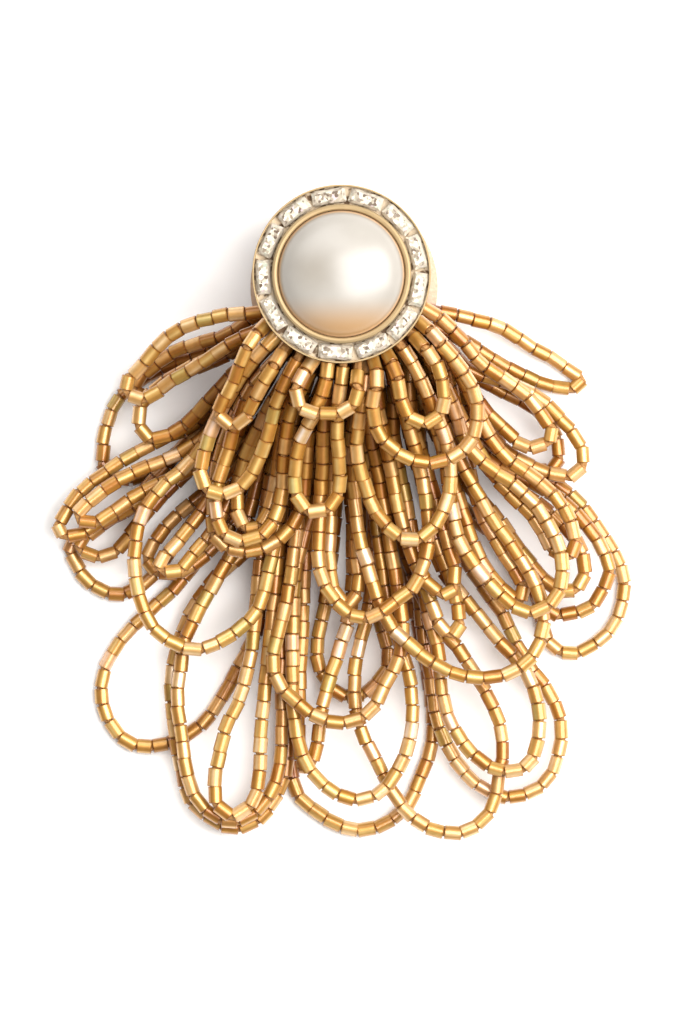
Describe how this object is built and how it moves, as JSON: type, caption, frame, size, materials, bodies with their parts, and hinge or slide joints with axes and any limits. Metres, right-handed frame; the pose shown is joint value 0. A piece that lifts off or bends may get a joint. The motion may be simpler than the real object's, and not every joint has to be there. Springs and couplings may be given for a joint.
{
  "type": "beaded earring",
  "caption": "Clip-on statement earring: a domed pearl in a round stone-set gold head over a fan of looped strands of small gold glass beads, lying face up",
  "frame": {"origin": "centre of the bounding box at its base, on the surface that the earring lies on face up", "axes": "+Z out of the earring's face, up from the surface; +Y up the earring, from the fringe's tips to the pearl; +X to the right, seen from the front"},
  "size_m": [0.0652, 0.0735, 0.0229],
  "materials": {
    "pearl": "lustrous cream imitation pearl",
    "gold": "polished gold plating",
    "crystal": "clear faceted stones with cut corners, foiled behind",
    "backing": "pale beige suede",
    "beads": "gold-lined glass cylinder beads on thread"
  },
  "bodies": {
    "root": {"pearl": "pearl", "setting": "gold", "crystals": "crystal", "backing": "backing", "ear_clip": "gold", "bead_loop_01": "beads", "bead_loop_02": "beads", "bead_loop_03": "beads", "bead_loop_04": "beads", "bead_loop_05": "beads", "bead_loop_06": "beads", "bead_loop_07": "beads", "bead_loop_08": "beads", "bead_loop_09": "beads", "bead_loop_10": "beads", "bead_loop_11": "beads", "bead_loop_12": "beads", "bead_loop_13": "beads", "bead_loop_14": "beads", "bead_loop_15": "beads", "bead_loop_16": "beads", "bead_loop_17": "beads", "bead_loop_18": "beads", "bead_loop_19": "beads", "bead_loop_20": "beads", "bead_loop_21": "beads", "bead_loop_22": "beads", "bead_loop_23": "beads", "bead_loop_24": "beads", "bead_loop_25": "beads", "bead_loop_26": "beads", "bead_loop_27": "beads", "bead_loop_28": "beads", "bead_loop_29": "beads", "bead_loop_30": "beads", "bead_loop_31": "beads", "bead_loop_32": "beads", "bead_loop_33": "beads", "bead_loop_34": "beads", "bead_loop_35": "beads", "bead_loop_36": "beads", "bead_loop_37": "beads", "bead_loop_38": "beads", "bead_loop_39": "beads", "bead_loop_40": "beads", "bead_loop_41": "beads", "bead_loop_42": "beads", "bead_loop_43": "beads", "bead_loop_44": "beads", "bead_loop_45": "beads", "bead_loop_46": "beads", "bead_loop_47": "beads", "bead_loop_48": "beads"}
  },
  "joints": []
}
